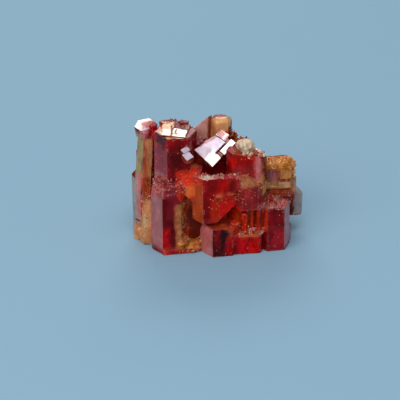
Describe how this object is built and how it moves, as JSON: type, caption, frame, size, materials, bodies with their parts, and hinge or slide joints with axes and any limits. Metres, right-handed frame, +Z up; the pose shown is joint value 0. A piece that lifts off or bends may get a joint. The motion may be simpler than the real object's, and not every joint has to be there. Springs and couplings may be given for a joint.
{
  "type": "vanadinite crystal cluster",
  "caption": "Cluster of fused red hexagonal mineral prisms with stepped, skeletal and broken tops, one small pale grain on it, cut flat beneath.",
  "frame": {"origin": "middle of the cluster's bounding box, at the flat cut that it rests on", "axes": "+X along the cluster's longest side, to the viewer's right; +Y away from the side the picture shows; +Z up, along most of the prisms"},
  "size_m": [0.0324, 0.0236, 0.0231],
  "materials": {
    "vanadinite": "gloss",
    "barite": "satin"
  },
  "bodies": {
    "root": {"vanadinite_crystals": "vanadinite", "pale_grain": "barite"}
  },
  "joints": []
}
